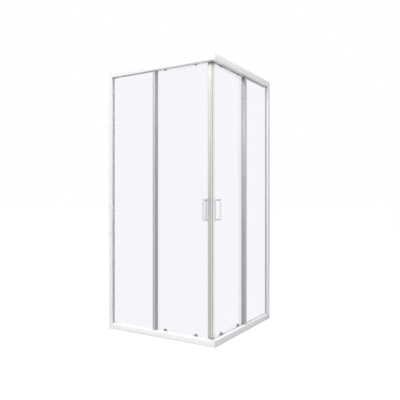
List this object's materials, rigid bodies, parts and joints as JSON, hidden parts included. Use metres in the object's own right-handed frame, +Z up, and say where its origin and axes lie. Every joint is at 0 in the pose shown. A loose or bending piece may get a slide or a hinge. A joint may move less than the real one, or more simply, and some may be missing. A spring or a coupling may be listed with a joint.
{
  "type": "corner shower enclosure",
  "caption": "Square corner-entry shower enclosure with fixed glass wings, sliding doors on grooved rollers, white rails and chrome handles.",
  "frame": {"origin": "centre of the square the two wings span, on the tray (underside of the bottom rails)", "axes": "+Z up; the left wing stands along -Y, the right wing along +X, their shared corner is at +X -Y; the room's walls are at -X and +Y"},
  "size_m": [0.9, 0.9, 1.9],
  "materials": {
    "whiteRail": "satin white powder coat",
    "whiteProfile": "satin white powder coat",
    "silverProfile": "satin silver anodised",
    "glass": "clear toughened, polished edges",
    "whitePlastic": "smooth moulded",
    "capPlastic": "smooth moulded",
    "rollerPlastic": "moulded, fine satin",
    "wheelNylon": "natural nylon",
    "blockPlastic": "moulded",
    "chromeHandle": "polished chrome plate",
    "screwSteel": "bright stainless",
    "springSteel": "bright spring strip",
    "gasket": "matt, translucent grey",
    "sealStrip": "soft, translucent grey",
    "magnetSeal": "flexible, milky"
  },
  "bodies": {
    "frame": {"wall_channel_left": "whiteProfile", "wall_channel_right": "whiteProfile", "wall_stile_left": "whiteProfile", "wall_stile_right": "whiteProfile", "bottom_rail_left": "whiteRail", "bottom_rail_right": "whiteRail", "top_rail_left": "whiteRail", "top_rail_right": "whiteRail", "fixed_glass_left": "glass", "fixed_glass_right": "glass", "fixed_upright_left": "silverProfile", "fixed_upright_right": "silverProfile", "corner_block_bottom": "whitePlastic", "corner_block_top": "whitePlastic", "corner_covers": "whitePlastic", "frame_screws": "screwSteel", "screw_covers": "whitePlastic", "fixed_glass_gaskets": "gasket", "setting_blocks": "blockPlastic", "slot_covers": "whitePlastic", "upright_seals": "sealStrip", "rail_end_caps": "whitePlastic"},
    "door_left": {"door_glass_left": "glass", "door_leading_profile_left": "silverProfile", "door_trailing_profile_left": "silverProfile", "magnetic_seal_left": "magnetSeal", "handle_grip_left": "chromeHandle", "handle_backplate_left": "chromeHandle", "handle_screws_left": "screwSteel", "top_roller_bushes_left": "rollerPlastic", "top_roller_caps_left": "capPlastic", "bottom_roller_guides_left": "rollerPlastic", "bottom_roller_caps_left": "capPlastic", "release_springs_left": "springSteel"},
    "top_wheel_front_left": {"top_wheel_front_left": "wheelNylon"},
    "bottom_release_front_left": {"bottom_release_front_left": "rollerPlastic"},
    "bottom_wheel_front_left": {"bottom_wheel_front_left": "wheelNylon"},
    "top_wheel_rear_left": {"top_wheel_rear_left": "wheelNylon"},
    "bottom_release_rear_left": {"bottom_release_rear_left": "rollerPlastic"},
    "bottom_wheel_rear_left": {"bottom_wheel_rear_left": "wheelNylon"},
    "door_right": {"door_glass_right": "glass", "door_leading_profile_right": "silverProfile", "door_trailing_profile_right": "silverProfile", "magnetic_seal_right": "magnetSeal", "handle_grip_right": "chromeHandle", "handle_backplate_right": "chromeHandle", "handle_screws_right": "screwSteel", "top_roller_bushes_right": "rollerPlastic", "top_roller_caps_right": "capPlastic", "bottom_roller_guides_right": "rollerPlastic", "bottom_roller_caps_right": "capPlastic", "release_springs_right": "springSteel"},
    "top_wheel_front_right": {"top_wheel_front_right": "wheelNylon"},
    "bottom_release_front_right": {"bottom_release_front_right": "rollerPlastic"},
    "bottom_wheel_front_right": {"bottom_wheel_front_right": "wheelNylon"},
    "top_wheel_rear_right": {"top_wheel_rear_right": "wheelNylon"},
    "bottom_release_rear_right": {"bottom_release_rear_right": "rollerPlastic"},
    "bottom_wheel_rear_right": {"bottom_wheel_rear_right": "wheelNylon"}
  },
  "joints": [
    {"name": "door_left_slide", "type": "slide", "parent": "frame", "child": "door_left", "axis": [-1, 0, 0], "range_m": [0, 0.355]},
    {"name": "top_wheel_front_left_spin", "type": "hinge", "parent": "door_left", "child": "top_wheel_front_left", "pos_m": [0.278, -0.3918, 1.8783], "axis": [0, -1, 0], "continuous": true},
    {"name": "bottom_release_front_left_slide", "type": "slide", "parent": "door_left", "child": "bottom_release_front_left", "axis": [0, 0, -1], "range_m": [0, 0.006], "stiffness_N_per_m": 400, "springref_m": -0.01, "deforming": ["release_springs_left"]},
    {"name": "bottom_wheel_front_left_spin", "type": "hinge", "parent": "bottom_release_front_left", "child": "bottom_wheel_front_left", "pos_m": [0.278, -0.3918, 0.0247], "axis": [0, 1, 0], "continuous": true},
    {"name": "top_wheel_rear_left_spin", "type": "hinge", "parent": "door_left", "child": "top_wheel_rear_left", "pos_m": [0.03, -0.3918, 1.8783], "axis": [0, -1, 0], "continuous": true},
    {"name": "bottom_release_rear_left_slide", "type": "slide", "parent": "door_left", "child": "bottom_release_rear_left", "axis": [0, 0, -1], "range_m": [0, 0.006], "stiffness_N_per_m": 400, "springref_m": -0.01, "deforming": ["release_springs_left"]},
    {"name": "bottom_wheel_rear_left_spin", "type": "hinge", "parent": "bottom_release_rear_left", "child": "bottom_wheel_rear_left", "pos_m": [0.03, -0.3918, 0.0247], "axis": [0, 1, 0], "continuous": true},
    {"name": "door_right_slide", "type": "slide", "parent": "frame", "child": "door_right", "axis": [0, 1, 0], "range_m": [0, 0.355]},
    {"name": "top_wheel_front_right_spin", "type": "hinge", "parent": "door_right", "child": "top_wheel_front_right", "pos_m": [0.3918, -0.278, 1.8783], "axis": [-1, 0, 0], "continuous": true},
    {"name": "bottom_release_front_right_slide", "type": "slide", "parent": "door_right", "child": "bottom_release_front_right", "axis": [0, 0, -1], "range_m": [0, 0.006], "stiffness_N_per_m": 400, "springref_m": -0.01, "deforming": ["release_springs_right"]},
    {"name": "bottom_wheel_front_right_spin", "type": "hinge", "parent": "bottom_release_front_right", "child": "bottom_wheel_front_right", "pos_m": [0.3918, -0.278, 0.0247], "axis": [1, 0, 0], "continuous": true},
    {"name": "top_wheel_rear_right_spin", "type": "hinge", "parent": "door_right", "child": "top_wheel_rear_right", "pos_m": [0.3918, -0.03, 1.8783], "axis": [-1, 0, 0], "continuous": true},
    {"name": "bottom_release_rear_right_slide", "type": "slide", "parent": "door_right", "child": "bottom_release_rear_right", "axis": [0, 0, -1], "range_m": [0, 0.006], "stiffness_N_per_m": 400, "springref_m": -0.01, "deforming": ["release_springs_right"]},
    {"name": "bottom_wheel_rear_right_spin", "type": "hinge", "parent": "bottom_release_rear_right", "child": "bottom_wheel_rear_right", "pos_m": [0.3918, -0.03, 0.0247], "axis": [1, 0, 0], "continuous": true}
  ],
  "couplings": [
    {"joint": "top_wheel_front_left_spin", "follows": "door_left_slide", "rad_per_m": 100},
    {"joint": "bottom_wheel_front_left_spin", "follows": "door_left_slide", "rad_per_m": 142.86},
    {"joint": "top_wheel_rear_left_spin", "follows": "door_left_slide", "rad_per_m": 100},
    {"joint": "bottom_wheel_rear_left_spin", "follows": "door_left_slide", "rad_per_m": 142.86},
    {"joint": "top_wheel_front_right_spin", "follows": "door_right_slide", "rad_per_m": 100},
    {"joint": "bottom_wheel_front_right_spin", "follows": "door_right_slide", "rad_per_m": 142.86},
    {"joint": "top_wheel_rear_right_spin", "follows": "door_right_slide", "rad_per_m": 100},
    {"joint": "bottom_wheel_rear_right_spin", "follows": "door_right_slide", "rad_per_m": 142.86}
  ]
}
